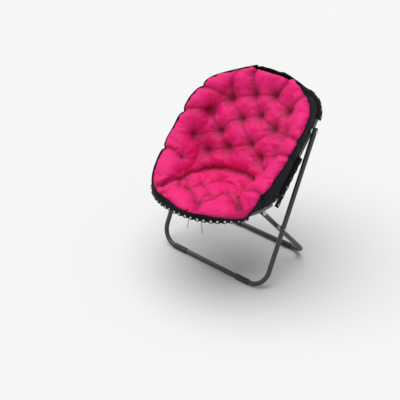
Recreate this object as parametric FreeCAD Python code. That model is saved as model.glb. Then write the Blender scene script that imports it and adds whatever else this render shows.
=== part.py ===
# Folding lounge chair: crossed leg frames carry a hinged ring with a laced fabric shell and a tufted pad.
# Millimetres, +Z up, the chair faces -Y, +X is the sitter's left, origin on the floor under the middle.
import math
import os

import FreeCAD
import Part

# Driving dimensions of the leg frames
middle_y = 113.77          # front floor bar to the middle of the whole chair
leg_r = 11.0               # leg tube, outside radius
leg_wall = 1.2
front_half = 313.0         # front leg centre from the middle plane
rear_half = 277.0          # rear leg centre from the middle plane
bar_z = 13.0               # floor bar centre above the floor
bar_gap = 368.6            # front floor bar to rear floor bar
front_lean = 25.4          # front legs lean back, degrees
rear_lean = 42.65          # rear legs lean forward, degrees
leg_bend = 85.0            # bend radius at the foot of a leg frame
sleeve_r = 13.6            # foot sleeve, outside radius before its flat underside
sleeve_long = 74.0
front_top_over = 15.0      # front leg past its top pivot
rear_top_over = 5.0        # rear leg past its top pivot

# Driving dimensions of the ring
ring_r = 9.0
ring_wall = 1.2
ring_half = 286.5          # ring side tube from the middle plane
hinge_y = 91.7             # ring hinge, from the front floor bar
hinge_z = 431.0
back_tilt = 48.03          # back hoop above the horizontal, degrees
back_long = 515.0          # hinge to the top of the back hoop
back_corner = 130.0
back_crown = 8.0           # half angle of the crown arc, degrees
front_long = 322.0         # hinge to the front of the front hoop
front_corner = 262.0
front_crown = 10.0
back_drop = 15.0           # back hoop tube behind the line of its pivots
front_drop = 15.0          # front hoop tube below the hinge
tube_start = 27.0          # hinge to the end of each hoop tube
leg_pivot_long = 448.0     # leg crossing to the back hoop's pivot, along the front leg
seat_pivot_z = 395.0       # rear leg's top pivot

# Fittings
plate_thick = 3.0
pin_r = 3.5
pin_play = 0.05
flap_thick = 1.8
flap_gap = 0.4             # fabric to tube
flap_drop = 25.0           # skirt below the tube's centre
eyelet_drop = 14.0
eyelet_r = 5.5
eyelet_bore = 3.0
eyelet_rim = 0.5
eyelet_play = 0.15         # rim to fabric, because the fabric curves and the rim is flat
cord_r = 1.3
shell_thick = 2.5
pad_gap = 1.5
fold_gap = 1.0             # between the seat's and the back's soft parts at the hinge

V = FreeCAD.Vector
X_AXIS = V(1, 0, 0)
os.makedirs("parts", exist_ok=True)
made = {}


def vec(x, y, z):
    return V(x, y - middle_y, z)


def keep(name, shape):
    made[name] = shape


# Pivots in the side view, as (y, z)
front_up = (math.sin(math.radians(front_lean)), math.cos(math.radians(front_lean)))
rear_up = (-math.sin(math.radians(rear_lean)), math.cos(math.radians(rear_lean)))
slopes = math.tan(math.radians(front_lean)) + math.tan(math.radians(rear_lean))
cross_z = bar_z + bar_gap / slopes
cross = ((cross_z - bar_z) * math.tan(math.radians(front_lean)), cross_z)
leg_pivot = (cross[0] + leg_pivot_long * front_up[0], cross[1] + leg_pivot_long * front_up[1])
seat_reach = (seat_pivot_z - cross_z) / rear_up[1]
seat_pivot = (cross[0] + seat_reach * rear_up[0], seat_pivot_z)
hinge = (hinge_y, hinge_z)
back_t = (math.cos(math.radians(back_tilt)), math.sin(math.radians(back_tilt)))
back_n = (-back_t[1], back_t[0])


def on_back(x, s, h):
    # s up the back from the hinge, h in front of the back hoop's tube plane
    rise = h - back_drop
    return vec(x, hinge[0] + s * back_t[0] + rise * back_n[0], hinge[1] + s * back_t[1] + rise * back_n[1])


def on_front(x, s, h):
    # s forward from the hinge, h above the front hoop's tube plane
    return vec(x, hinge[0] - s, hinge[1] - front_drop + h)


def path_edges(points, radii):
    # straight runs joined by tangent arcs, one radius for each inner point
    edges = []
    start = points[0]
    for before, corner, after, radius in zip(points, points[1:], points[2:], radii):
        inward = (before - corner).normalize()
        outward = (after - corner).normalize()
        half = inward.getAngle(outward) / 2
        cut = radius / math.tan(half)
        first = corner + inward * cut
        last = corner + outward * cut
        middle = corner + (inward + outward).normalize() * (radius / math.sin(half) - radius)
        if (first - start).Length > 0.01:
            edges.append(Part.LineSegment(start, first).toShape())
        edges.append(Part.Arc(first, middle, last).toShape())
        start = last
    if (points[-1] - start).Length > 0.01:
        edges.append(Part.LineSegment(start, points[-1]).toShape())
    return edges


def pipe(edges, radius):
    path = Part.Wire(edges)
    start = edges[0].valueAt(edges[0].FirstParameter)
    heading = edges[0].tangentAt(edges[0].FirstParameter)
    ring = Part.Wire(Part.makeCircle(radius, start, heading))
    return path.makePipeShell([ring], True, False)


def tube(edges, radius, wall):
    return pipe(edges, radius).cut(pipe(edges, radius - wall))


def rod(x0, x1, at, radius):
    return Part.makeCylinder(radius, x1 - x0, vec(x0, *at), X_AXIS)


def link_plate(x0, thick, first, last, radius):
    # a flat plate with round ends between two side-view points
    along = V(0, last[0] - first[0], last[1] - first[1])
    side = V(0, -along.z, along.y).normalize() * radius
    p, q = vec(x0, *first), vec(x0, *last)
    outline = Part.Wire([
        Part.LineSegment(p + side, q + side).toShape(),
        Part.Arc(q + side, q + V(along).normalize() * radius, q - side).toShape(),
        Part.LineSegment(q - side, p - side).toShape(),
        Part.Arc(p - side, p - V(along).normalize() * radius, p + side).toShape(),
    ])
    return Part.Face(outline).extrude(X_AXIS * thick)


def mirrored(shape):
    return shape.mirror(V(0, 0, 0), X_AXIS)


def both_sides(name, shape):
    keep(name + "_left", shape)
    keep(name + "_right", mirrored(shape))


# Leg frames
def leg_frame(half, foot_y, up, top):
    foot = vec(0, foot_y, bar_z)
    reach = math.hypot(top[0] - foot_y, top[1] - bar_z)
    rise = V(0, up[0], up[1]) * reach
    right = foot - X_AXIS * half
    left = foot + X_AXIS * half
    return path_edges([right + rise, right, left, left + rise], [leg_bend, leg_bend])


front_top = (leg_pivot[0] + front_top_over * front_up[0], leg_pivot[1] + front_top_over * front_up[1])
rear_top = (seat_pivot[0] + rear_top_over * rear_up[0], seat_pivot[1] + rear_top_over * rear_up[1])
front_edges = leg_frame(front_half, 0, front_up, front_top)
rear_edges = leg_frame(rear_half, bar_gap, rear_up, rear_top)

cross_hole = rod(rear_half - 2 * leg_r, front_half + 2 * leg_r, cross, pin_r + pin_play)
rear_hole = rod(rear_half - 2 * leg_r, rear_half + 2 * leg_r, seat_pivot, pin_r)
front_hole = rod(front_half - 2 * leg_r, front_half + 2 * leg_r, leg_pivot, pin_r)
front_holes = [front_hole, mirrored(front_hole)]
cross_fit = rod(front_half - 2 * leg_r, front_half + 2 * leg_r, cross, pin_r)
front_holes += [cross_fit, mirrored(cross_fit)]
keep("front_leg_frame", tube(front_edges, leg_r, leg_wall).cut(Part.makeCompound(front_holes)))
rear_holes = [cross_hole, mirrored(cross_hole), rear_hole, mirrored(rear_hole)]
keep("rear_leg_frame", tube(rear_edges, leg_r, leg_wall).cut(Part.makeCompound(rear_holes)))


def foot_sleeve(half, foot_y):
    start = half - leg_bend - sleeve_long
    body = Part.makeCylinder(sleeve_r, sleeve_long, vec(start, foot_y, bar_z), X_AXIS)
    body = body.makeChamfer(1.2, [e for e in body.Edges if e.Length > 2 * sleeve_r])
    body = body.cut(Part.makeCylinder(leg_r, sleeve_long, vec(start, foot_y, bar_z), X_AXIS))
    wide = 2 * sleeve_r
    below = Part.makeBox(sleeve_long, 2 * wide, wide, vec(start, foot_y - wide, -wide))
    return body.cut(below)


both_sides("front_foot_sleeve", foot_sleeve(front_half, 0))
both_sides("rear_foot_sleeve", foot_sleeve(rear_half, bar_gap))


cap_thick = 2.5
cap_chamfer = 1.5
plug_long = 6.0


def leg_cap(half, top, up):
    axis = V(0, up[0], up[1])
    crown = Part.makeCylinder(leg_r, cap_thick, vec(half, *top), axis)
    crown = crown.makeChamfer(cap_chamfer, [crown.Edges[0]])
    plug = Part.makeCylinder(leg_r - leg_wall, plug_long, vec(half, *top) - axis * plug_long, axis)
    return crown.fuse(plug).removeSplitter()


both_sides("front_leg_cap", leg_cap(front_half, front_top, front_up))

# Pins where the legs cross, with the spacer that keeps the frames apart
pin_head_r = 7.0
pin_head = 2.6
spacer_r = 9.0
side_play = 0.4            # between parts that turn against each other
pin_in = rear_half - leg_r - side_play
pin_out = front_half + leg_r
cross_pin = rod(pin_in, pin_out, cross, pin_r)
cross_pin = cross_pin.fuse(rod(pin_out, pin_out + pin_head, cross, pin_head_r))
cross_pin = cross_pin.fuse(rod(pin_in - pin_head, pin_in, cross, pin_head_r))
both_sides("crossing_pin", cross_pin.removeSplitter())
spacer = rod(rear_half + leg_r + side_play, front_half - leg_r, cross, spacer_r)
both_sides("crossing_spacer", spacer.cut(rod(rear_half, front_half, cross, pin_r)))

# Bolt in the top of each front leg
bolt_head_r = 8.0
bolt_head = 3.2
bolt_chamfer = 1.2
bolt = rod(front_half - leg_r, pin_out, leg_pivot, pin_r)
bolt = bolt.fuse(rod(pin_out, pin_out + bolt_head, leg_pivot, bolt_head_r)).removeSplitter()
bolt = bolt.makeChamfer(bolt_chamfer, [e for e in bolt.Edges if e.BoundBox.XMin > pin_out + bolt_head / 2])
both_sides("back_pivot_bolt", bolt)

# Rivet in the top of each rear leg, running in the seat bracket
rivet_head_r = 6.0
bracket_x = ring_half + 2.1
rivet_in = rear_half - leg_r
rivet_out = bracket_x + plate_thick + side_play
rivet = rod(rivet_in, rivet_out, seat_pivot, pin_r)
rivet = rivet.fuse(rod(rivet_in - pin_head, rivet_in, seat_pivot, pin_head_r))
rivet = rivet.fuse(rod(rivet_out, rivet_out + pin_head, seat_pivot, rivet_head_r))
both_sides("seat_pivot_rivet", rivet.removeSplitter())


# Hoops of the ring
def hoop_edges(place, long, corner, crown, start):
    theta = math.radians(90 - crown)
    reach = (ring_half - corner) / math.cos(theta)
    side_end = long - corner - reach * (1 - math.sin(theta))
    middle_s = side_end - reach * math.sin(theta)

    def corner_at(angle):
        return ring_half - corner + corner * math.cos(angle), side_end + corner * math.sin(angle)

    half = [corner_at(0), corner_at(theta / 2), corner_at(theta)]
    right = [place(x, s, 0) for x, s in half]
    left = [place(-x, s, 0) for x, s in half]
    return [
        Part.LineSegment(place(ring_half, start, 0), right[0]).toShape(),
        Part.Arc(right[0], right[1], right[2]).toShape(),
        Part.Arc(right[2], place(0, middle_s + reach + corner, 0), left[2]).toShape(),
        Part.Arc(left[2], left[1], left[0]).toShape(),
        Part.LineSegment(left[0], place(-ring_half, start, 0)).toShape(),
    ]


back_edges = hoop_edges(on_back, back_long, back_corner, back_crown, tube_start)
front_hoop = hoop_edges(lambda x, s, h: on_front(-x, s, h), front_long, front_corner, front_crown, tube_start)


def side_point(point):
    return point.y + middle_y, point.z


# Hinge plates, one welded into each tube end
plate_reach = 16.0         # plate inside the tube's end
hinge_plate_r = 8.5
hinge_head_r = 6.5
hinge_head = 2.4
back_foot = side_point(on_back(0, tube_start + plate_reach, 0))
front_foot = side_point(on_front(0, tube_start + plate_reach, 0))
back_plate = link_plate(ring_half + side_play, plate_thick, hinge, back_foot, hinge_plate_r)
front_plate = link_plate(ring_half - side_play - plate_thick, plate_thick, hinge, front_foot, hinge_plate_r)
pin_x0 = ring_half - 2 * side_play - plate_thick
pin_x1 = ring_half + side_play + plate_thick
both_sides("back_hinge_plate", back_plate.cut(rod(pin_x0, pin_x1, hinge, pin_r)))
both_sides("front_hinge_plate", front_plate.cut(rod(pin_x0, pin_x1, hinge, pin_r + pin_play)))
hinge_pin = rod(pin_x0, pin_x1, hinge, pin_r)
hinge_pin = hinge_pin.fuse(rod(pin_x0 - hinge_head, pin_x0, hinge, hinge_head_r))
hinge_pin = hinge_pin.fuse(rod(pin_x1, pin_x1 + hinge_head, hinge, hinge_head_r)).removeSplitter()
both_sides("hinge_pin", hinge_pin)

# Brackets: back hoop to the front legs, front hoop to the rear legs
leg_plate_r = 9.5
seat_plate_r = 9.0
nut_r = 5.8
nut_thick = 5.0
leg_plate_x = ring_half + ring_r - 1.0
leg_pivot_s = (leg_pivot[0] - hinge[0]) * back_t[0] + (leg_pivot[1] - hinge[1]) * back_t[1]
leg_plate_foot = side_point(on_back(0, leg_pivot_s, 0))
leg_plate = link_plate(leg_plate_x, plate_thick, leg_pivot, leg_plate_foot, leg_plate_r)
both_sides("leg_bracket", leg_plate)
nut = rod(leg_plate_x - nut_thick, leg_plate_x, leg_pivot, nut_r)
both_sides("leg_bracket_nut", nut)
seat_plate_foot = side_point(on_front(0, hinge[0] - seat_pivot[0], 0))
seat_plate = link_plate(bracket_x, plate_thick, seat_pivot, seat_plate_foot, seat_plate_r)
both_sides("seat_bracket", seat_plate.cut(rod(rivet_in, rivet_out, seat_pivot, pin_r + pin_play)))


def slotted(shape, plates):
    cutters = [p for plate in plates for p in (plate, mirrored(plate))]
    return shape.cut(Part.makeCompound(cutters))


keep("back_hoop_tube", slotted(tube(back_edges, ring_r, ring_wall), [back_plate, leg_plate, nut]))
keep("front_hoop_tube", slotted(tube(front_hoop, ring_r, ring_wall), [front_plate, seat_plate]))


# Fabric flaps: a strip that wraps over the tube and hangs as a skirt outside it
def clip(edges, first, last):
    # the run of a path from one length to another
    out, walked = [], 0.0
    for edge in edges:
        long = edge.Length
        lo, hi = max(first - walked, 0), min(last - walked, long)
        if hi - lo > 0.05:
            a = edge.getParameterByLength(lo)
            b = edge.getParameterByLength(hi)
            out.append(edge.Curve.toShape(a, b))
        walked += long
    return out


def length_of(edges):
    return sum(edge.Length for edge in edges)


def point_on(edges, length):
    if length < 0:
        at, along = point_on(edges, 0)
        return at + along * length, along
    if length > length_of(edges):
        at, along = point_on(edges, length_of(edges))
        return at + along * (length - length_of(edges)), along
    for edge in edges:
        if length <= edge.Length:
            at = edge.getParameterByLength(length)
            return edge.valueAt(at), edge.tangentAt(at)
        length -= edge.Length
    return edge.valueAt(edge.LastParameter), edge.tangentAt(edge.LastParameter)


def skirt_frame(edges, length, normal):
    # centre, direction along the tube, direction away from the seat
    centre, along = point_on(edges, length)
    return centre, along, along.cross(normal).normalize()


wrap_angle = 115.0         # fabric over the tube, degrees from its outer side


def flap(edges, first, last, normal):
    centre, along, out = skirt_frame(edges, first, normal)
    inner, outer = ring_r + flap_gap, ring_r + flap_gap + flap_thick
    lean = math.radians(wrap_angle)

    def at(radius, angle):
        return centre + out * (radius * math.cos(angle)) + normal * (radius * math.sin(angle))

    outline = Part.Wire([
        Part.Arc(at(outer, lean), at(outer, lean / 2), at(outer, 0)).toShape(),
        Part.LineSegment(at(outer, 0), at(outer, 0) - normal * flap_drop).toShape(),
        Part.LineSegment(at(outer, 0) - normal * flap_drop, at(inner, 0) - normal * flap_drop).toShape(),
        Part.LineSegment(at(inner, 0) - normal * flap_drop, at(inner, 0)).toShape(),
        Part.Arc(at(inner, 0), at(inner, lean / 2), at(inner, lean)).toShape(),
        Part.LineSegment(at(inner, lean), at(outer, lean)).toShape(),
    ])
    return Part.Wire(clip(edges, first, last)).makePipeShell([outline], True, False)


skirt_mid = ring_r + flap_gap + flap_thick / 2
barrel_r = eyelet_bore + 0.6
lace_in = 5.2              # lacing run behind the skirt, from the skirt's middle
lace_out = 2.9             # in front of the skirt, where the hoop is straight
lace_out_bent = 3.7
lace_low = 0.6             # lacing below the middle of an eyelet
lace_bend = 3.0


def eyelet_at(edges, length, normal):
    centre, along, out = skirt_frame(edges, length, normal)
    return centre + out * skirt_mid - normal * eyelet_drop, along, out


def eyelet(edges, length, normal):
    centre, along, out = eyelet_at(edges, length, normal)
    half = flap_thick / 2 + eyelet_play
    barrel = Part.makeCylinder(barrel_r, 2 * half, centre - out * half, out)
    barrel = barrel.fuse(Part.makeCylinder(eyelet_r, eyelet_rim, centre + out * half, out))
    barrel = barrel.fuse(Part.makeCylinder(eyelet_r, eyelet_rim, centre - out * (half + eyelet_rim), out))
    bore = Part.makeCylinder(eyelet_bore, 2 * flap_thick, centre - out * flap_thick, out)
    return barrel.removeSplitter().cut(bore)


def lacing(edges, spots, normal, reach):
    # an elastic cord that goes out through one eyelet and in through the next
    points = []
    for i, spot in enumerate(spots):
        centre, along, out = eyelet_at(edges, spot, normal)
        low = centre - normal * lace_low
        through = [low - out * lace_in, low + out * reach]
        points += through if i % 2 == 0 else through[::-1]
    return pipe(path_edges(points, [lace_bend] * (len(points) - 2)), cord_r)


eyelet_margin = 16.0


def laced_flap(name, edges, first, last, count, normal, reach, extra=None):
    # extra: a plain piece of skirt that runs on past the tube's end
    step = (last - first - 2 * eyelet_margin) / (count - 1)
    spots = [first + eyelet_margin + step * i for i in range(count)]
    holes = []
    for spot in spots:
        centre, along, out = eyelet_at(edges, spot, normal)
        holes.append(Part.makeCylinder(barrel_r, 2 * flap_thick, centre - out * flap_thick, out))
    cloth = flap(edges, max(first, wrap_start), min(last, length_of(edges) - wrap_start), normal)
    if extra:
        cloth = cloth.fuse(extra).removeSplitter()
    keep(name + "_flap", cloth.cut(Part.makeCompound(holes)))
    keep(name + "_eyelets", Part.makeCompound([eyelet(edges, spot, normal) for spot in spots]))
    keep(name + "_lacing", lacing(edges, spots, normal, reach))
    return spots


back_normal = V(0, back_n[0], back_n[1])
back_total = length_of(back_edges)
front_middle = length_of(front_hoop) / 2
wrap_start = 18.0          # along the tube, where a flap begins to wrap over it
side_first, side_last = -55.0, 186.0
top_first = 368.0
front_flap_half = 330.0
skirt_rise = 12.0          # skirt above the tube's centre where it runs past the hinge
skirt_x = ring_half + ring_r + flap_gap
skirt = Part.Face(Part.makePolygon([
    on_back(skirt_x, tube_start + side_first, -flap_drop),
    on_back(skirt_x, tube_start + wrap_start, -flap_drop),
    on_back(skirt_x, tube_start + wrap_start, 0),
    on_back(skirt_x, tube_start, skirt_rise),
    on_back(skirt_x, tube_start + side_first, skirt_rise),
    on_back(skirt_x, tube_start + side_first, -flap_drop),
])).extrude(X_AXIS * flap_thick)
laced_flap("left_side", back_edges, side_first, side_last, 6, back_normal, lace_out, skirt)
for piece in ("flap", "eyelets", "lacing"):
    keep("right_side_" + piece, mirrored(made["left_side_" + piece]))
laced_flap("top", back_edges, top_first, back_total - top_first, 23, back_normal, lace_out_bent)
front_spots = laced_flap("front", front_hoop, front_middle - front_flap_half,
                         front_middle + front_flap_half, 23, V(0, 0, 1), lace_out_bent)


# Lacing tails that hang from the front flap
def tail(spot, sway, steps):
    # steps: sideways sway and drop of each corner below the start
    centre, along, out = eyelet_at(front_hoop, spot, V(0, 0, 1))
    start = centre + out * (flap_thick / 2 + cord_r + side_play) - V(0, 0, tail_start)
    points = [start + along * (sway * side) - V(0, 0, drop) for side, drop in steps]
    radii = []
    for before, corner, after in zip(points, points[1:], points[2:]):
        bend = math.pi - (before - corner).getAngle(after - corner)
        run = min((corner - before).Length, (after - corner).Length)
        radii.append(0.45 * run / math.tan(bend / 2))
    edges = path_edges(points, radii)
    print("tail length", round(length_of(edges), 1))
    return pipe(edges, cord_r)


tail_start = 7.0
tail_shift = 9.0           # beside an eyelet
long_steps = [(0, 0), (0.4, 14), (1.7, 28), (3.6, 42), (4.7, 55)]
short_steps = [(0, 0), (0.5, 11), (1.9, 22), (4.2, 33), (7.2, 43)]
keep("lacing_tail_long", tail(front_spots[16] - tail_shift, 1.0, long_steps))
keep("lacing_tail_short", tail(front_spots[14] - tail_shift, -1.0, short_steps))


# Soft parts: cross-sections in planes that hold the X direction
# each: side-view foot (y, z), forward tilt, half width at the ring, rim half width, rim height,
# pad centre height, valley height, bolster width, shell sag
def front_foot_at(s, drop=0):
    return side_point(on_front(0, s, drop))


def back_foot_at(s, drop=0):
    return side_point(on_back(0, s, drop))


seat_sections = [
    (front_foot_at(303, 14), 20, 88, 104, 8, 19, 16, 38, 1),
    (front_foot_at(284, 13), 8, 138, 166, 11, 23, 19, 56, -21),
    (front_foot_at(229, 8), 0, 203, 238, 22, 22, 25, 84, -34),
    (front_foot_at(154), 4, 250, 284, 58, 20, 34, 112, -46),
    (front_foot_at(68, -1), 12, 268, 304, 101, 4, 36, 134, -60),
    (front_foot_at(-4, 3), 24, 272, 308, 130, -12, 34, 130, -72),
]
back_sections = [
    seat_sections[-1],
    (back_foot_at(90), 42, 273, 310, 112, 4, 38, 120, -66),
    (back_foot_at(180), back_tilt, 273, 314, 107, 32, 52, 112, -54),
    (back_foot_at(280), back_tilt, 273, 310, 104, 42, 60, 106, -44),
    (back_foot_at(380), 46, 266, 288, 96, 54, 68, 100, -30),
    (back_foot_at(448), 42, 234, 232, 80, 78, 80, 86, -14),
    (back_foot_at(484), 38, 172, 164, 78, 90, 88, 62, -2),
    (back_foot_at(497, 10), 33, 104, 100, 68, 82, 78, 42, 6),
]
wall_bulge = 5.0
bolster_crown = 11.0
full_bolster = 100.0       # width from which a bolster has its full crown
crown_out = 0.12           # crown beyond a bolster's middle, as a share of its width


def section_frame(section, shift):
    (y, z), tilt = section[0], section[1]
    a = math.radians(tilt)
    up = V(0, -math.sin(a), math.cos(a))
    forward = V(0, -math.cos(a), -math.sin(a))
    foot = vec(0, y, z) + forward * shift
    return lambda x, h: foot + X_AXIS * x + up * h


def arc(p, m, q):
    return Part.Arc(p, m, q).toShape()


def line(p, q):
    return Part.LineSegment(p, q).toShape()


def bolster_points(section):
    # rim, crown and inner foot of the bolster
    rim, rim_h, valley_h, bolster = section[3], section[4], section[6], section[7]
    b = (rim - shell_thick - pad_gap, rim_h)
    c = (rim - bolster, valley_h)
    rise = bolster_crown * min(1, bolster / full_bolster)
    crown = ((b[0] + c[0]) / 2 + crown_out * bolster, max(b[1], c[1]) + rise)
    return b, crown, c


def pad_wire(section, shift):
    at = section_frame(section, shift)
    half, middle_h, sag = section[2], section[5], section[8]
    inset = shell_thick + pad_gap
    a = (half - inset, inset)
    b, crown, c = bolster_points(section)
    side = ((a[0] + b[0]) / 2 + wall_bulge, (a[1] + b[1]) / 2)
    return Part.Wire([
        arc(at(-a[0], a[1]), at(0, sag + inset), at(*a)),
        arc(at(*a), at(*side), at(*b)),
        arc(at(*b), at(*crown), at(*c)),
        arc(at(*c), at(0, middle_h), at(-c[0], c[1])),
        arc(at(-c[0], c[1]), at(-crown[0], crown[1]), at(-b[0], b[1])),
        arc(at(-b[0], b[1]), at(-side[0], side[1]), at(-a[0], a[1])),
    ])


def shell_wire(section, shift):
    at = section_frame(section, shift)
    half, rim, rim_h, sag = section[2], section[3], section[4], section[8]
    t = shell_thick

    def band(inset):
        a = (half - inset, inset)
        b = (rim - inset, rim_h)
        return a, ((a[0] + b[0]) / 2 + wall_bulge, (a[1] + b[1]) / 2), b, sag + inset

    a, s, b, low = band(0)
    ai, si, bi, low_i = band(t)
    return Part.Wire([
        arc(at(-a[0], a[1]), at(0, low), at(*a)),
        arc(at(*a), at(*s), at(*b)),
        line(at(*b), at(*bi)),
        arc(at(*bi), at(*si), at(*ai)),
        arc(at(*ai), at(0, low_i), at(-ai[0], ai[1])),
        arc(at(-ai[0], ai[1]), at(-si[0], si[1]), at(-bi[0], bi[1])),
        line(at(-bi[0], bi[1]), at(-b[0], b[1])),
        arc(at(-b[0], b[1]), at(-s[0], s[1]), at(-a[0], a[1])),
    ])


def lofted(wire_of, sections, shifts):
    return Part.makeLoft([wire_of(s, d) for s, d in zip(sections, shifts)], True, False)


seat_shifts = [0] * (len(seat_sections) - 1) + [fold_gap / 2]
back_shifts = [-fold_gap / 2] + [0] * (len(back_sections) - 1)
end_inset = 2.0            # pad behind the shell's front and top walls
seat_pad = lofted(pad_wire, seat_sections, [-end_inset] + seat_shifts[1:])
back_pad = lofted(pad_wire, back_sections, back_shifts[:-1] + [end_inset])


wall_lap = -1.0            # end wall starts inside the shell's side


def end_wall(section, forward):
    # the shell's wall that closes its front or its top
    at = section_frame(section, wall_lap * forward)
    out = (at(1, 0) - at(0, 0)).cross(at(0, 1) - at(0, 0)) * forward
    half, rim, rim_h, middle_h, valley_h, bolster, sag = section[2:]
    outline = Part.Wire([
        arc(at(-half, 0), at(0, sag), at(half, 0)),
        line(at(half, 0), at(rim, rim_h)),
        arc(at(rim, rim_h), at(0, middle_h), at(-rim, rim_h)),
        line(at(-rim, rim_h), at(-half, 0)),
    ])
    return Part.Face(outline).extrude(out * shell_thick)


front_wall = end_wall(seat_sections[0], 1)
top_wall = end_wall(back_sections[-1], -1)
keep("seat_shell", lofted(shell_wire, seat_sections, seat_shifts).fuse(front_wall))
keep("back_shell", lofted(shell_wire, back_sections, back_shifts).fuse(top_wall))


# Sewn tufts: round dimples in rows that are set half a step apart
def dimple(place, x, s, h, radius, depth):
    middle = place(x, s, h + radius - depth)
    return Part.makeSphere(radius, middle, place(x, s, h) - middle)


def tuft_rows(place, rows, rise, radius, depth):
    # rows: place along the panel, height of the panel, count, step across
    tufts = []
    for s, h, count, step in rows:
        for i in range(count):
            x = (i - (count - 1) / 2) * step
            tufts.append(dimple(place, x, s, h + rise * x * x, radius, depth))
    return tufts


back_rows = [(150, 24, 4, 92), (230, 40, 3, 104), (305, 46, 4, 92), (375, 56, 3, 98)]
seat_rows = [(75, 3, 2, 110), (145, 18, 3, 100), (215, 30, 4, 84)]
back_tufts = tuft_rows(on_back, back_rows, 0.0006, 42.0, 20.0)
seat_tufts = tuft_rows(on_front, seat_rows, 0.0005, 34.0, 14.0)


# Sewn channels across the bolsters
channel_r = 8.0


def channels(section):
    at = section_frame(section, 0)
    b, crown, c = bolster_points(section)
    groove = pipe([arc(at(*b), at(*crown), at(*c))], channel_r)
    return [groove, mirrored(groove)]


back_channels = [groove for section in back_sections[1:5] for groove in channels(section)]
seat_channels = [groove for section in seat_sections[3:5] for groove in channels(section)]


keep("back_pad", back_pad.cut(Part.makeCompound(back_tufts + back_channels)))
keep("seat_pad", seat_pad.cut(Part.makeCompound(seat_tufts + seat_channels)))

for name, shape in made.items():
    shape.exportStep(f"parts/{name}.step")
    print(name, len(shape.Solids), shape.isValid(), round(shape.Volume))
print("pivots", [side_point(vec(0, *p)) for p in (cross, leg_pivot, seat_pivot, hinge)])
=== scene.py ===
import math

import bmesh
import bpy
import numpy as np
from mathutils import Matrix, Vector
from mathutils.kdtree import KDTree


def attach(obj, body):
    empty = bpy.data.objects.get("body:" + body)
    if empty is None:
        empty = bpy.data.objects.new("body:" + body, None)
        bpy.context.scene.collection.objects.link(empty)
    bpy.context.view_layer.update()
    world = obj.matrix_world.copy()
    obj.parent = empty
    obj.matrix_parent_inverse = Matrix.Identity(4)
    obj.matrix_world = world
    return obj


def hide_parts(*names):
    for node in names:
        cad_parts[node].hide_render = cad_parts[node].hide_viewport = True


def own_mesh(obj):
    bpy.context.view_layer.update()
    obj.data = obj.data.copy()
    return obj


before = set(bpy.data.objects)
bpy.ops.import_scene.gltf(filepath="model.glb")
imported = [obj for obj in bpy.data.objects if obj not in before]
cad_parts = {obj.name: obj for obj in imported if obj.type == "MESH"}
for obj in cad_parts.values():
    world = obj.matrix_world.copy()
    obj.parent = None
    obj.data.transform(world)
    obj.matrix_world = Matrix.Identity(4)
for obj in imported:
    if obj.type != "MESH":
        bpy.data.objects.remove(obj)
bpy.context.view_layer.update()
scene = bpy.context.scene
mm = 0.001
print("frame loaded,", len(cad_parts), "nodes")

# Camera at the photograph's viewing angle
photoView = {
    "azimuth": 41.998,  # degrees from the front, towards the sitter's left
    "elevation": 30.286,
    "distance": 3.8486,
    "target": (0.01347, -0.20443, 0.4),
    "lens": 79.01,  # on a 36 mm wide square
}


def placeCamera(settings):
    turn = math.radians(settings["azimuth"])
    rise = math.radians(settings["elevation"])
    away = Vector((math.sin(turn) * math.cos(rise), -math.cos(turn) * math.cos(rise), math.sin(rise)))
    camera = bpy.data.objects.new("photoCamera", bpy.data.cameras.new("photoCamera"))
    camera.data.lens = settings["lens"]
    camera.location = Vector(settings["target"]) + away * settings["distance"]
    camera.rotation_euler = away.to_track_quat("Z", "Y").to_euler()
    scene.collection.objects.link(camera)
    scene.camera = camera


placeCamera(photoView)
scene.view_settings.view_transform = "Standard"


# Shader maths as Python expressions
class Shade:
    def __init__(self, nodes, socket):
        self.nodes = nodes
        self.socket = socket

    def maths(self, operation, *values):
        return self.nodes.add("ShaderNodeMath", {"operation": operation}, dict(enumerate(values)))

    def __add__(self, other):
        return self.maths("ADD", self, other)

    def __radd__(self, other):
        return self.maths("ADD", other, self)

    def __sub__(self, other):
        return self.maths("SUBTRACT", self, other)

    def __rsub__(self, other):
        return self.maths("SUBTRACT", other, self)

    def __mul__(self, other):
        return self.maths("MULTIPLY", self, other)

    def __rmul__(self, other):
        return self.maths("MULTIPLY", other, self)

    def sine(self):
        return self.maths("SINE", self)

    def between(self, low, high):
        sockets = {"Value": self, "From Min": low, "From Max": high}
        return self.nodes.add("ShaderNodeMapRange", {"clamp": True}, sockets)


class NodeTree:
    def __init__(self, tree):
        self.tree = tree
        tree.nodes.clear()

    def add(self, kind, settings=None, sockets=None, out=0):
        node = self.tree.nodes.new(kind)
        for key, value in (settings or {}).items():
            setattr(node, key, value)
        for key, value in (sockets or {}).items():
            if isinstance(value, Shade):
                self.tree.links.new(value.socket, node.inputs[key])
            else:
                node.inputs[key].default_value = value
        return Shade(self, node.outputs[out]) if len(node.outputs) else None

    def objectSpot(self):
        return self.add("ShaderNodeTexCoord", out="Object")

    def axes(self, spot):
        return [self.add("ShaderNodeSeparateXYZ", {}, {0: spot}, out=i) for i in range(3)]

    def noise(self, spot, scale, detail=2.0):
        return self.add("ShaderNodeTexNoise", {}, {"Vector": spot, "Scale": scale, "Detail": detail})

    def mix(self, share, first, second):
        sockets = {0: share, 6: (*first, 1), 7: (*second, 1)}
        return self.add("ShaderNodeMix", {"data_type": "RGBA"}, sockets, out=2)

    def bump(self, height, depth):
        return self.add("ShaderNodeBump", {}, {"Strength": 1.0, "Distance": depth, "Height": height})


def makeFinish(name, build):
    finish = bpy.data.materials.new(name)
    finish.use_nodes = True
    nodes = NodeTree(finish.node_tree)
    sockets = build(nodes)
    shader = nodes.add("ShaderNodeBsdfPrincipled", {}, sockets)
    nodes.add("ShaderNodeOutputMaterial", {}, {"Surface": shader})
    return finish


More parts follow.
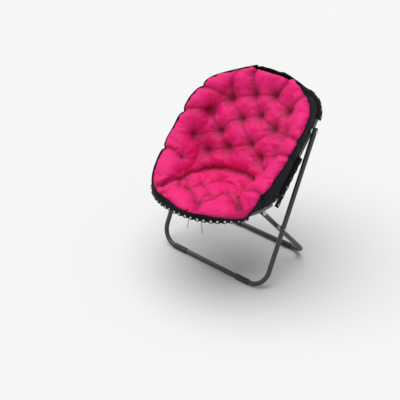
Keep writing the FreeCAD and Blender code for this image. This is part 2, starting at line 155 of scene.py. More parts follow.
def padCloth(nodes):
    spot = nodes.objectSpot()
    cloud = nodes.noise(spot, 11.0, 4.0)
    nap = nodes.noise(spot, 900.0, 3.0)
    crumple = nodes.noise(spot, 70.0, 5.0)
    # Painted shade: the crease attribute darkens the pink towards the deep colour in the tuft pits, along
    # the sewn seams and creases, and on the underside; the cloud and nap noise add random tone
    crease = nodes.add("ShaderNodeAttribute", {"attribute_name": "crease"}, out="Fac")
    tone = (crease * 0.95 + (cloud - 0.5) * 0.4 + (nap - 0.5) * 0.12).between(-0.02, 0.95)
    return {
        "Base Color": nodes.mix(tone, (0.92, 0.008, 0.2), (0.27, 0.002, 0.04)),
        "Roughness": 0.6 + (nap - 0.5) * 0.3,
        "Normal": nodes.bump(crumple * 0.8 + nap * 0.2, 0.0016),
        "Sheen Weight": 0.13,
        "Sheen Roughness": 0.45,
        "Sheen Tint": (1.0, 0.55, 0.75, 1),
        "Specular IOR Level": 0.3,
    }


def shellCloth(nodes):
    spot = nodes.objectSpot()
    x, y, z = nodes.axes(spot)
    yarn = 2 * math.pi / 0.0016  # one thread pair every 1.6 mm
    weave = (x * yarn).sine() * ((y + z) * yarn).sine()
    fade = nodes.noise(spot, 7.0, 4.0)
    crumple = nodes.noise(spot, 38.0, 4.0)
    lint = nodes.noise(spot, 420.0, 2.0)
    tone = (fade * 0.7 + weave * 0.12 + lint * 0.3).between(0.2, 0.9)
    return {
        "Base Color": nodes.mix(tone, (0.004, 0.004, 0.0055), (0.012, 0.012, 0.015)),
        "Roughness": 0.7 + (lint - 0.5) * 0.3,
        "Normal": nodes.bump(crumple * 4.0 + weave * 0.12, 0.0012),
        "Sheen Weight": 0.02,
        "Sheen Roughness": 0.5,
        "Specular IOR Level": 0.08,
    }


def coated(dark, light, rough, scuff):
    def build(nodes):
        spot = nodes.objectSpot()
        peel = nodes.noise(spot, 650.0, 2.0)
        cloud = nodes.noise(spot, 16.0, 4.0)
        scratch = nodes.noise(spot, 120.0, 6.0).between(0.62, 0.74)
        tone = (cloud * 0.8 + scratch * scuff).between(0.25, 1.0)
        return {
            "Base Color": nodes.mix(tone, dark, light),
            "Roughness": rough + (cloud - 0.5) * 0.16 + scratch * 0.1,
            "Normal": nodes.bump(peel, 0.00012),
            "Coat Weight": 0.15,
            "Coat Roughness": 0.3,
        }
    return build


def bareMetal(colour, rough):
    def build(nodes):
        spot = nodes.objectSpot()
        grain = nodes.noise(spot, 260.0, 4.0)
        cloud = nodes.noise(spot, 45.0, 3.0)
        dull = tuple(c * 0.72 for c in colour)
        return {
            "Base Color": nodes.mix(cloud.between(0.3, 0.7), colour, dull),
            "Metallic": 1.0,
            "Roughness": rough + (grain - 0.5) * 0.18,
            "Normal": nodes.bump(grain, 0.00006),
        }
    return build


def moulded(dark, light):
    def build(nodes):
        spot = nodes.objectSpot()
        grain = nodes.noise(spot, 900.0, 2.0)
        cloud = nodes.noise(spot, 30.0, 3.0)
        return {
            "Base Color": nodes.mix(cloud.between(0.3, 0.75), dark, light),
            "Roughness": 0.5 + (grain - 0.5) * 0.2,
            "Normal": nodes.bump(grain, 0.0001),
        }
    return build


def braid(nodes):
    spot = nodes.objectSpot()
    x, y, z = nodes.axes(spot)
    yarn = 2 * math.pi / 0.0014  # one strand pair every 1.4 mm
    plait = ((x + z) * yarn).sine() * ((y - z) * yarn).sine()
    tone = (plait * 0.5 + 0.5).between(0.1, 0.9)
    return {
        "Base Color": nodes.mix(tone, (0.006, 0.006, 0.007), (0.03, 0.03, 0.033)),
        "Roughness": 0.7 + plait * 0.08,
        "Normal": nodes.bump(plait, 0.0003),
        "Sheen Weight": 0.2,
    }


finishes = {
    "pad_fabric": makeFinish("padFabric", padCloth),
    "shell_fabric": makeFinish("shellFabric", shellCloth),
    "leg_coat": makeFinish("legCoat", coated((0.018, 0.0185, 0.02), (0.04, 0.041, 0.045), 0.3, 0.5)),
    "ring_coat": makeFinish("ringCoat", coated((0.10, 0.105, 0.115), (0.19, 0.2, 0.215), 0.34, 0.5)),
    "zinc": makeFinish("zinc", bareMetal((0.62, 0.62, 0.6), 0.32)),
    "eyelet_metal": makeFinish("eyeletMetal", bareMetal((0.86, 0.86, 0.87), 0.22)),
    "black_plastic": makeFinish("blackPlastic", moulded((0.008, 0.008, 0.009), (0.018, 0.018, 0.02))),
    "grey_plastic": makeFinish("greyPlastic", moulded((0.42, 0.42, 0.41), (0.56, 0.56, 0.54))),
    "elastic_cord": makeFinish("elasticCord", braid),
}
nodeSlots = [
    ("_leg_frame", "leg_coat"),
    ("_hoop_tube", "ring_coat"),
    ("_eyelets", "eyelet_metal"),
    ("_lacing", "elastic_cord"),
    ("_foot_sleeve", "black_plastic"),
    ("_leg_cap", "black_plastic"),
    ("crossing_spacer", "grey_plastic"),
]
for nodeName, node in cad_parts.items():
    slotName = next((slot for part, slot in nodeSlots if part in nodeName), "zinc")
    node.data.materials.clear()
    node.data.materials.append(finishes[slotName])
print("finishes made")


def addPiece(name, data, body, slotName, nodes):
    piece = bpy.data.objects.new(name, data)
    scene.collection.objects.link(piece)
    data.materials.append(finishes[slotName])
    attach(piece, body)
    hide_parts(*nodes)
    return piece


def meshOf(name, bm):
    for face in bm.faces:
        face.smooth = True
    mesh = bpy.data.meshes.new(name)
    bm.to_mesh(mesh)
    bm.free()
    return mesh


# Loose ends of the elastic lacing at the front
lacingTails = {
    "diameter": 2.6,
    "lacing_tail_long": {
        "length": 55.2,
        "points": [(135.69, -331.33, 395), (136.06, -331.17, 381), (137.25, -330.65, 367),
                   (138.99, -329.88, 353), (139.99, -329.43, 340)],
    },
    "lacing_tail_short": {
        "length": 43.8,
        "points": [(78.71, -349.43, 395), (78.22, -349.53, 384), (76.85, -349.80, 373),
                   (74.60, -350.26, 362), (71.66, -350.85, 352)],
    },
}


def addTail(node, name):
    settings = lacingTails[node]
    thick = lacingTails["diameter"] * mm
    curve = bpy.data.curves.new(name, "CURVE")
    curve.dimensions = "3D"
    curve.bevel_depth = thick / 2
    curve.bevel_resolution = 4
    curve.use_fill_caps = True
    spline = curve.splines.new("NURBS")
    spline.points.add(len(settings["points"]) - 1)
    for point, spot in zip(spline.points, settings["points"]):
        point.co = (*(Vector(spot) * mm), 1)
    spline.order_u = 3
    spline.use_endpoint_u = True
    tail = addPiece(name, curve, "front_hoop", "elastic_cord", [node])


addTail("lacing_tail_long", "lacingTailLong")
addTail("lacing_tail_short", "lacingTailShort")
print("lacing tails made")

# The ring, two hoops that meet at the hinge; millimetres until a vertex is placed
ring = {
    "half": 286.5,
    "start": 27.0,  # hinge to the tube's end
    "hinge": np.array([0.0, -22.07, 431.0]),
    "tilt": math.radians(48.03),
    "drop": 15.0,  # tubes behind or below the hinge
    "back": {"long": 515.0, "corner": 130.0, "crown": math.radians(8)},
    "front": {"long": 322.0, "corner": 262.0, "crown": math.radians(10)},
}
across = np.array([1.0, 0.0, 0.0])
upright = np.array([0.0, 0.0, 1.0])
hoopAlong = {
    "back": np.array([0.0, math.cos(ring["tilt"]), math.sin(ring["tilt"])]),
    "front": np.array([0.0, -1.0, 0.0]),
}
hoopNormal = {"back": np.array([0.0, -math.sin(ring["tilt"]), math.cos(ring["tilt"])]), "front": upright}


def onHoop(kind, x, s, h):
    # s from the hinge along the hoop, h above the plane of its tube
    return ring["hinge"] + across * x + hoopAlong[kind] * s + hoopNormal[kind] * (h - ring["drop"])


def hoopLengths(kind):
    hoop = ring[kind]
    turn = math.pi / 2 - hoop["crown"]
    reach = (ring["half"] - hoop["corner"]) / math.cos(turn)
    sideEnd = hoop["long"] - hoop["corner"] - reach * (1 - math.sin(turn))
    radius = reach + hoop["corner"]
    straight = sideEnd - ring["start"]
    total = 2 * (straight + hoop["corner"] * turn + radius * hoop["crown"])
    return turn, reach, sideEnd, radius, straight, total


def hoopSpot(kind, length):
    # centre of the tube, and the direction away from the seat
    hoop = ring[kind]
    turn, reach, sideEnd, radius, straight, total = hoopLengths(kind)
    side = 1 if length <= total / 2 else -1
    walk = length if side > 0 else total - length
    bend = (walk - straight) / hoop["corner"]
    if bend <= 0:
        x, s, dx, ds = ring["half"], ring["start"] + walk, 0.0, 1.0
    elif bend <= turn:
        x = ring["half"] - hoop["corner"] + hoop["corner"] * math.cos(bend)
        s = sideEnd + hoop["corner"] * math.sin(bend)
        dx, ds = -math.sin(bend), math.cos(bend)
    else:
        swing = hoop["crown"] - (walk - straight - hoop["corner"] * turn) / radius
        x = radius * math.sin(swing)
        s = sideEnd - reach * math.sin(turn) + radius * math.cos(swing)
        dx, ds = -math.cos(swing), math.sin(swing)
    hand = 1 if kind == "back" else -1  # the front hoop runs from the right side to the left
    centre = onHoop(kind, hand * side * x, s, 0)
    along = across * (hand * dx) + hoopAlong[kind] * (side * ds)
    return centre, np.cross(along, hoopNormal[kind])


def hoopWidth(kind, s):
    # half the ring's width at s from the hinge
    corner, sideEnd = ring[kind]["corner"], hoopLengths(kind)[2]
    bend = np.clip((s - sideEnd) / corner, 0, 1)
    return ring["half"] - corner + corner * np.sqrt(1 - bend**2)


def hoopReach(kind, x):
    # s of the ring's far side at x
    corner = ring[kind]["corner"]
    turn, reach, sideEnd, radius = hoopLengths(kind)[:4]
    bend = np.clip((np.abs(x) - ring["half"] + corner) / corner, 0, 1)
    crown = sideEnd - reach * math.sin(turn) + np.sqrt(radius**2 - x**2)
    onCrown = np.abs(x) < radius * math.sin(ring[kind]["crown"])
    return np.where(onCrown, crown, sideEnd + corner * np.sqrt(1 - bend**2))


def easeStep(value):
    value = np.clip(value, 0, 1)
    return value * value * (3 - 2 * value)


def gridSheet(columns, rows, place):
    # a grid whose corners run from (0, 0) to (1, 1), with every vertex moved to its place
    bm = bmesh.new()
    bm.loops.layers.uv.new("UVMap")
    bmesh.ops.create_grid(bm, x_segments=columns, y_segments=rows, size=1, calc_uvs=True)
    flat = np.array([vert.co.xy for vert in bm.verts]) / 2 + 0.5
    for vert, spot in zip(bm.verts, place(flat[:, 0], flat[:, 1])):
        vert.co = Vector(spot) * mm
    return bm


# Fabric flaps that wrap the ring, pierced under each eyelet
flapCut = {
    "radius": 10.3,  # middle of the cloth over the tube
    "thick": 1.8,
    "wrap": math.radians(115),
    "wrapRows": 8,
    "drops": [4.0, 8.0, 11.0, 17.0, 19.5, 22.0, 25.0],
    "eyelet": 14.0,
    "hole": 3.0,
    "margin": 16.0,
    "between": 5,  # columns between two eyelets
    "scallop": 6.5,
    "ripple": 0.7,
    "bareStart": 18.0,  # the skirt runs past the hinge, where there is no tube
    "rise": 12.0,
    "rippleDrop": 10.0,  # below the tube, where the ripple is full
    "punch": 1.6,  # faces nearer to an eyelet's middle go
}
backTotal, frontTotal = [hoopLengths(kind)[5] for kind in ("back", "front")]
# node, hoop, first and last place along the tube, number of eyelets
flaps = {
    "leftSideFlap": ("left_side_flap", "back", -55.0, 186.0, 6),
    "topFlap": ("top_flap", "back", 368.0, backTotal - 368.0, 23),
    "rightSideFlap": ("right_side_flap", "back", backTotal - 186.0, backTotal + 55.0, 6),
    "frontFlap": ("front_flap", "front", frontTotal / 2 - 330, frontTotal / 2 + 330, 23),
}


def addFlap(name, node, kind, first, last, count):
    cut = flapCut
    step = (last - first - 2 * cut["margin"]) / (count - 1)
    eyelets = [first + cut["margin"] + step * i for i in range(count)]
    spots = [first, first + cut["margin"] / 2]
    for spot in eyelets:
        spots += [spot - cut["hole"], spot + cut["hole"]]
        gap = step - 2 * cut["hole"]
        spots += [spot + cut["hole"] + gap * (i + 1) / (cut["between"] + 1)
                  for i in range(cut["between"])]
    spots = [spot for spot in spots if spot < eyelets[-1] + cut["hole"] + 0.1]
    spots += [last - cut["margin"] / 2, last]
    angles = [cut["wrap"] * (1 - i / cut["wrapRows"]) for i in range(cut["wrapRows"] + 1)]
    outs = [cut["radius"] * math.cos(a) for a in angles] + [cut["radius"]] * len(cut["drops"])
    ups = [cut["radius"] * math.sin(a) for a in angles] + [-drop for drop in cut["drops"]]
    total = hoopLengths(kind)[5]
    columns, rows = len(spots) - 1, len(outs) - 1
    holeFoot = cut["eyelet"] + cut["hole"]

    def place(u, v):
        placed = []
        for i, j in zip(np.rint(u * columns).astype(int), np.rint(v * rows).astype(int)):
            length = spots[i]
            centre, away = hoopSpot(kind, length)
            bare = easeStep((cut["bareStart"] - min(length, total - length)) / cut["bareStart"])
            wrapShare = max(0.0, 1 - j / cut["wrapRows"])
            out = outs[j] * (1 - bare) + cut["radius"] * bare
            up = ups[j]
            if j <= cut["wrapRows"]:
                up = up * (1 - bare) + cut["rise"] * wrapShare * bare
            hang = max(0.0, -up - holeFoot) / (cut["drops"][-1] - holeFoot)
            wave = math.sin(math.pi * (length - eyelets[0]) / step) ** 2
            up += cut["scallop"] * wave * hang
            out += cut["ripple"] * (wave - 0.5) * min(1.0, max(0.0, -up / cut["rippleDrop"]))
            placed.append(centre + away * out + hoopNormal[kind] * up)
        return placed

    bm = gridSheet(columns, rows, place)
    holes = []
    for spot in eyelets:
        centre, away = hoopSpot(kind, spot)
        middle = Vector(centre + away * cut["radius"] - hoopNormal[kind] * cut["eyelet"]) * mm
        near = cut["punch"] * mm
        holes += [face for face in bm.faces if (face.calc_center_median() - middle).length < near]
    bmesh.ops.delete(bm, geom=holes, context="FACES")
    bmesh.ops.recalc_face_normals(bm, faces=bm.faces)
    body = "back_hoop" if kind == "back" else "front_hoop"
    flap = addPiece(name, meshOf(name, bm), body, "shell_fabric", [node])
    solid = flap.modifiers.new("cloth", "SOLIDIFY")
    solid.thickness = cut["thick"] * mm
    solid.offset = 0
    (last - first) * mm
    body + "_tube"
    return len(holes)


for flapName, flapSettings in flaps.items():
    print(flapName, addFlap(flapName, *flapSettings), "eyelet holes")

# Cross-sections of the tub and the pad from the front edge to the top
# foot, forward tilt, half width at the ring, rim half width, rim height, middle, valley, bolster, sag
sections = [
    (onHoop("front", 0, 303, 14), 20, 88, 104, 8, 19, 16, 38, 1),
    (onHoop("front", 0, 284, 13), 8, 138, 166, 11, 23, 19, 56, -21),
    (onHoop("front", 0, 229, 8), 0, 203, 238, 22, 22, 25, 84, -34),
    (onHoop("front", 0, 154, 0), 4, 250, 284, 58, 20, 34, 112, -46),
    (onHoop("front", 0, 68, -1), 12, 268, 304, 101, 4, 36, 134, -60),
    (onHoop("front", 0, -4, 3), 24, 272, 308, 130, -12, 34, 130, -72),
    (onHoop("back", 0, 90, 0), 42, 273, 310, 112, 4, 38, 120, -66),
    (onHoop("back", 0, 180, 0), 48, 273, 314, 107, 32, 52, 112, -54),
    (onHoop("back", 0, 280, 0), 48, 273, 310, 104, 42, 60, 106, -44),
    (onHoop("back", 0, 380, 0), 46, 266, 288, 96, 54, 68, 100, -30),
    (onHoop("back", 0, 448, 0), 42, 234, 232, 80, 78, 80, 86, -14),
    (onHoop("back", 0, 484, 0), 38, 172, 164, 78, 90, 88, 62, -2),
    (onHoop("back", 0, 497, 10), 33, 104, 100, 68, 82, 78, 42, 6),
]
sectionTable = np.array([[foot[1], foot[2], *rest] for foot, *rest in sections], float)
hingeSection = 5.0
lastSection = len(sections) - 1.0


def sectionAt(t):
    # smooth values between the sections, where t counts them
    t = np.clip(np.asarray(t, float), 0, lastSection - 1e-9)
    index = np.floor(t).astype(int)
    share = (t - index)[..., None]
    a, b, c, d = [sectionTable[np.clip(index + k, 0, int(lastSection))] for k in (-1, 0, 1, 2)]
    bend = 2 * a - 5 * b + 4 * c - d
    twist = 3 * b - a - 3 * c + d
    rise = (c - a) * share + bend * share**2 + twist * share**3
    return np.moveaxis(b + 0.5 * rise, -1, 0)


# Where the pad's channels pull the rim in, and how far the rim stands off the sections
rimPulls = {
    "left": [4.0, 7.2, 8.6, 11.0],
    "right": [3.6, 7.0, 7.75, 10.3],
    "reach": 0.14,  # in sections
    "inward": 10.0,
    "down": 0.6,  # for each millimetre inward
}
rimFit = {
    "section": [0, 2, 3, 4, 5, 6, 7, 8, 9, 10, 11, 12],
    "leftOut": [0, -10, -12, -6, 2, 6, 6, 2, -10, -32, -36, -18],
    "rightOut": [0, 8, 12, 8, 4, 4, 9, 13, 14, 8, 4, 6],
    "up": [0, 0, 0, 0, 0, 0, 0, 0, -6, -11, -16, -19],
}


def fitted(t, key):
    return np.interp(t, rimFit["section"], rimFit[key])


def rimShape(u, t, rim, rimHigh):
    left, right = [sum(np.exp(-np.abs(t - pull) / rimPulls["reach"]) for pull in rimPulls[side])
                   for side in ("left", "right")]
    pull = rimPulls["inward"] * np.where(u < 0, left, right)
    out = np.where(u < 0, fitted(t, "leftOut"), fitted(t, "rightOut"))
    return rim - pull + out, rimHigh - rimPulls["down"] * pull


def sectionPlace(t, x, h):
    y, z, tilt = sectionAt(t)[:3]
    tilt = np.radians(tilt)
    return np.stack([x, y - h * np.sin(tilt), z + h * np.cos(tilt)], -1)


padShape = {
    "rimInset": 4.0,
    "crown": 13.0,
    "fullBolster": 100.0,  # width from which a bolster has its full crown
    "lean": (0.22, 0.04),  # of the bolster's two sides, for its width
    "swell": (0.05, 0.6),  # of its two sides, for its crown
    "columns": 140,
    "seatRows": 58,
    "backRows": 92,
    "lap": 8.0,  # each pad runs on under the other
    "bowlShare": 0.78,
    "floorGap": 5.0,
}


def bezier(q, a, b, c, d):
    p = 1 - q
    return p**3 * a + 3 * p**2 * q * b + 3 * p * q**2 * c + q**3 * d


def padTop(u, t):
    # the pad's upper side before it is tufted
    rim, rimHigh, middle, valley, wide = sectionAt(t)[4:9]
    rim, rimHigh = rimShape(u, t, rim - padShape["rimInset"], rimHigh)
    w = np.abs(u)
    foot = rim - wide
    inner = np.clip(w * rim / foot, 0, 1)
    q = np.clip((w * rim - foot) / wide, 0, 1)
    lift = fitted(t, "up")
    rise = padShape["crown"] * np.minimum(1, wide / padShape["fullBolster"])
    top = np.maximum(valley, rimHigh) + rise
    inSwell, outSwell = padShape["swell"]
    inLean, outLean = padShape["lean"]
    roll = bezier(q, valley, top + inSwell * rise, top + outSwell * rise, rimHigh)
    x = bezier(q, foot, foot + inLean * wide, rim + outLean * wide, rim)
    x = np.where(q > 0, x, w * rim)
    h = np.where(q > 0, roll, middle + (valley - middle) * inner**2)
    return sectionPlace(t, np.sign(u) * x, h + lift)


def padFloor(u, t):
    # the pad's underside, just inside the tub
    half, rim, rimHigh = sectionAt(t)[3:6]
    sag = sectionAt(t)[9]
    rim, rimHigh = rimShape(u, t, rim - padShape["rimInset"], rimHigh)
    half = half - padShape["rimInset"]
    share = np.clip(np.abs(u) / padShape["bowlShare"], 0, 1)
    k = np.clip((np.abs(u) - padShape["bowlShare"]) / (1 - padShape["bowlShare"]), 0, 1)
    x = np.where(k > 0, half + (rim - half) * k, half * share)
    h = np.where(k > 0, rimHigh * k, sag * (1 - share**2)) + padShape["floorGap"] * (1 - k)
    return sectionPlace(t, np.sign(u) * x, h)


# Tufts as (across, section), and the folds that run between them and out to the rim
tufts = {
    "a": (-0.50, 8.68), "b": (-0.13, 9.22), "c": (0.25, 9.50), "d": (0.56, 8.93), "e": (-0.67, 7.78),
    "f": (-0.16, 8.00), "g": (0.12, 8.40), "h": (-0.40, 7.12), "i": (-0.69, 6.35), "j": (0.44, 8.03),
    "k": (0.70, 7.85), "l": (-0.49, 5.95), "m": (-0.20, 6.48), "n": (0.17, 7.03), "o": (0.40, 6.55),
    "p": (0.68, 6.93), "q": (-0.65, 4.35), "r": (0.64, 5.9), "s": (-0.20, 2.58), "t": (-0.15, 3.68),
    "u": (0.23, 2.93), "v": (-0.08, 4.85), "w": (0.34, 3.90), "x": (0.33, 4.83), "y": (0.31, 1.80),
    "z": (-0.44, 3.3),
}
tuftShape = {
    "depth": 40.0,
    "reach": 27.0,
    "seatDepth": 24.0,
    "seatReach": 18.0,
    "rays": 9,
    "ray": 3.2,
    "rayTurn": 1.7,  # from one tuft to the next
    "raySway": 1.2,
    "rayStart": 9.0,
    "rayReach": 34.0,
    "sewn": 9.0,  # cloth drawn in deeper than this is held
}
folds = {
    "lines": ("ab bc cd af bg fg ae eh fh fn gj jk dk dj hm hi il "
              "lm mn no nj op kp or st tu tv uw wx vx uy sz zt").split(),
    "depth": 11.0,
    "reach": 8.5,
    "bow": 0.035,
}
channels = {
    "runs": [((-1, 4.0), "q"), ((-1, 7.2), "e"), ((-1, 8.6), "a"), ((-1, 11.0), "a"),
             ((-0.85, 12.0), "b"), ((0.95, 12.0), "c"), ((1, 10.3), "d"), ((1, 7.75), "k"),
             ((1, 7.0), "p"), ((1, 3.6), "w"), ((0.98, 0.0), "y")],
    "seat": [(-0.49, 3.0), (-0.32, 2.3), (-0.21, 2.6), (-0.01, 2.33), (0.29, 1.68),
             (0.38, 2.3), (0.3, 3.1), (0.31, 3.55), (0.53, 3.3), (0.85, 2.48)],
    "depth": 17.0,
    "reach": 11.0,
}
crease = {
    "depth": 27.0,
    "reach": 15.0,
    "left": [(-1, 1.1), (-0.66, 1.95), (-0.49, 3.12), (-0.48, 4.3), (-0.43, 5.05)],
    "right": [(1, 2.3), (0.8, 2.7), (0.62, 3.2), (0.53, 4.0), (0.49, 4.9), (0.47, 5.3)],
    "back": [(-0.43, 5.05), (-0.31, 5.35), (-0.13, 5.55), (0.05, 5.62),
             (0.24, 5.65), (0.41, 5.55), (0.47, 5.3)],
    "ends": (-0.5, 0.55),  # where the split leaves the crease for the bolsters
}
bolsterFoot = {"depth": 3.0, "reach": 20.0, "first": 0.6, "last": 11.2}
gathers = {"channel": (1.2, 3.1, 18.0), "crease": (1.3, 4.3, 22.0), "start": 8.0}  # height, step and reach
seams = {"fold": (5.0, 0.55), "channel": (6.0, 0.8), "crease": (7.0, 1.0)}  # width, and how tight it is sewn
puff = {"height": 7.0, "ripple": 2.6, "scale": 34.0, "seed": 5}
rimHold = {"wide": 0.09, "least": 0.35, "atCrease": 0.5, "reach": 16.0}  # the crease runs out over the rim
padShade = {"depth": 30.0, "seam": 0.4, "under": 0.4}
splitHold = 6.0


def between(first, last, bow=0.0, steps=60):
    share = np.linspace(0, 1, steps)
    sway = bow * np.sin(np.pi * share)
    u = first[0] + (last[0] - first[0]) * share + sway * np.sign(last[1] - first[1] + 1e-6)
    t = first[1] + (last[1] - first[1]) * share
    return padTop(np.clip(u, -1, 1), t)


def nearest(spots, lines):
    # distance to the nearest line, and how far along all the lines that place is
    points = np.concatenate(lines)
    tree = KDTree(len(points))
    for index, point in enumerate(points):
        tree.insert(point, index)
    tree.balance()
    found = [tree.find(spot) for spot in spots]
    run = np.cumsum(np.r_[0, np.linalg.norm(np.diff(points, axis=0), axis=1)])
    return np.array([hit[2] for hit in found]), run[[hit[1] for hit in found]]


def footLine(side):
    t = np.linspace(bolsterFoot["first"], bolsterFoot["last"], 240)
    rim, wide = sectionAt(t)[4] - padShape["rimInset"], sectionAt(t)[8]
    return padTop(side * (rim - wide) / rim, t)


def through(points):
    return np.concatenate([between(first, last) for first, last in zip(points, points[1:])])


seamLines = {
    "crease": [through(crease[key]) for key in ("left", "back", "right")],
    "fold": [between(tufts[a], tufts[b], folds["bow"]) for a, b in folds["lines"]],
    "channel": [between(rimEnd, tufts[key]) for rimEnd, key in channels["runs"]],
    "foot": [footLine(-1), footLine(1)],
}
seamLines["channel"].append(through(channels["seat"]))
seamShapes = {"fold": folds, "channel": channels, "foot": bolsterFoot, "crease": crease}
tuftSpots = {key: padTop(np.array(u), np.array(t)) for key, (u, t) in tufts.items()}


def padNormal(u, t):
    du, dt = 0.004, 0.02
    slopeU = padTop(np.clip(u + du, -1, 1), t) - padTop(np.clip(u - du, -1, 1), t)
    slopeT = padTop(u, t + dt) - padTop(u, t - dt)
    normal = np.cross(slopeU, slopeT)
    return normal / np.maximum(np.linalg.norm(normal, axis=1, keepdims=True), 1e-9)


def ripples(spots, scale, seed):
    waves = np.random.default_rng(seed).normal(size=(7, 4))
    return sum(np.sin(spots @ wave[:3] / scale + wave[3] * 7) for wave in waves) / len(waves) ** 0.5


def tufted(u, t, edge):
    # the upper side with its tufts, folds and channels; edge is the distance to the split at the hinge
    spots = padTop(u, t)
    normal = padNormal(u, t)
    dips = np.zeros((5, len(u)))
    rays = np.zeros(len(u))
    side = np.cross(normal, across)
    for order, (key, spot) in enumerate(tuftSpots.items()):
        away = spots - spot
        far = np.linalg.norm(away, axis=1)
        onSeat = tufts[key][1] < hingeSection
        depth = tuftShape["seatDepth" if onSeat else "depth"]
        reach = tuftShape["seatReach" if onSeat else "reach"]
        dips[0] = np.maximum(dips[0], depth * np.exp(-far / reach))
        angle = np.arctan2((away * side).sum(1), away[:, 0])
        sway = tuftShape["raySway"] * np.sin(2 * angle + order)
        fan = np.sin(tuftShape["rays"] * angle + order * tuftShape["rayTurn"] + sway)
        fade = np.clip(far / tuftShape["rayStart"], 0, 1)
        rays += tuftShape["ray"] * fan * np.exp(-far / tuftShape["rayReach"]) * fade
    far, along = {}, {}
    for key, lines in seamLines.items():
        far[key], along[key] = nearest(spots, lines)
    for row, (key, shape) in enumerate(seamShapes.items()):
        dips[row + 1] = shape["depth"] * np.exp(-far[key] / shape["reach"])
    for key in ("channel", "crease"):
        height, step, reach = gathers[key]
        fade = np.clip(far[key] / gathers["start"], 0, 1)
        rays += height * np.sin(along[key] / step) * np.exp(-far[key] / reach) * fade
    hold = easeStep((1 - np.abs(u)) / rimHold["wide"])
    dip = np.sqrt((dips**2).sum(0))
    rimShare = rimHold["least"] + rimHold["atCrease"] * np.exp(-far["crease"] / rimHold["reach"])
    puffed = puff["height"] + puff["ripple"] * ripples(spots, puff["scale"], puff["seed"]) + rays
    lift = puffed * hold - dip * np.maximum(hold, rimShare)
    seam = np.max([np.exp(-far[key] / wide) * tight for key, (wide, tight) in seams.items()], axis=0)
    pinned = np.maximum(seam, (dips[0] > tuftShape["sewn"]) * 1.0)
    pinned = np.maximum(pinned, np.exp(-np.abs(edge) / splitHold))
    shade = dip / padShade["depth"] + padShade["seam"] * seam
    return spots + normal * lift[:, None], shade, pinned


walkAcross = 0.55  # the pad's rows are spaced evenly along a line on its bolster
walkSteps = np.linspace(0, lastSection, 400)
walkLine = padTop(np.full(len(walkSteps), walkAcross), walkSteps)
walked = np.r_[0, np.cumsum(np.linalg.norm(np.diff(walkLine, axis=0), axis=1))]


def splitAt(u):
    # along the crease in the middle, straight across the bolsters
    middle = np.array(crease["back"])
    left, right = crease["ends"]
    return np.interp(u, np.r_[left, middle[:, 0], right], np.r_[hingeSection, middle[:, 1], hingeSection])


def padSpread(part, a, b):
    # grid shares to (across, section), evenly spaced along the surface
    g = 2 * a - 1
    u = g * (1.25 - 0.25 * g * g)  # closer together towards the rims
    meet = np.interp(splitAt(u), walkSteps, walked)
    lap = padShape["lap"]
    length = b * (meet + lap) if part == "seat" else meet - lap + b * (walked[-1] - meet + lap)
    return u, np.interp(length, walked, walkSteps), length - meet


def padEnd(part, b, rows):
    # rows from the pad's free end
    return (b if part == "seat" else 1 - b) * rows


padRoll = {"rows": 5.0, "drop": 16.0, "corner": 0.3, "closeRows": 4.0}
# The pad's front edge lies over the ring: shares of the front hoop from the sitter's right
drape = {
    "share": [0.0, 0.295, 0.37, 0.41, 0.455, 0.5, 0.545, 0.6, 0.65, 0.718, 0.819, 0.9, 1.0],
    "out": [0, 3, -2, -5, -1, 8, 18, 18, 14, 18, 29, 20, 10],
    "rise": [14, 14, 14, 14, 13, 11, 11, 11, 10, 6, -5, 4, 10],
    "leftFree": (1.05, 2.6),  # sections between which the edge climbs away from the ring
    "rightFree": (2.35, 3.5),
    "reach": 60.0,
}
frontShares = np.linspace(0, 1, 400)
frontRing = [hoopSpot("front", share * frontTotal) for share in frontShares]
rimLines = {}


def draped(spots, u, t, edges):
    # edges: which of the spots are on the pad's front edge
    free = np.where(u[edges] < 0, *[(t[edges] - first) / (last - first)
                                    for first, last in (drape["leftFree"], drape["rightFree"])])
    hold = 1 - easeStep(free)
    centres = np.array([centre for centre, away in frontRing])
    moves = []
    for spot, share in zip(spots[edges], hold):
        index = np.argmin(np.hypot(*(centres - spot)[:, :2].T))
        centre, away = frontRing[index]
        place = frontShares[index]
        out, rise = [np.interp(place, drape["share"], drape[key]) for key in ("out", "rise")]
        moves.append((centre + away * out + upright * rise - spot) * share)
    tree = KDTree(len(moves))
    for index, spot in enumerate(spots[edges]):
        tree.insert(spot, index)
    tree.balance()
    found = [tree.find(spot) for spot in spots]
    fade = np.exp(-(np.array([hit[2] for hit in found]) / drape["reach"]) ** 2)
    return spots + np.array(moves)[[hit[1] for hit in found]] * fade[:, None]


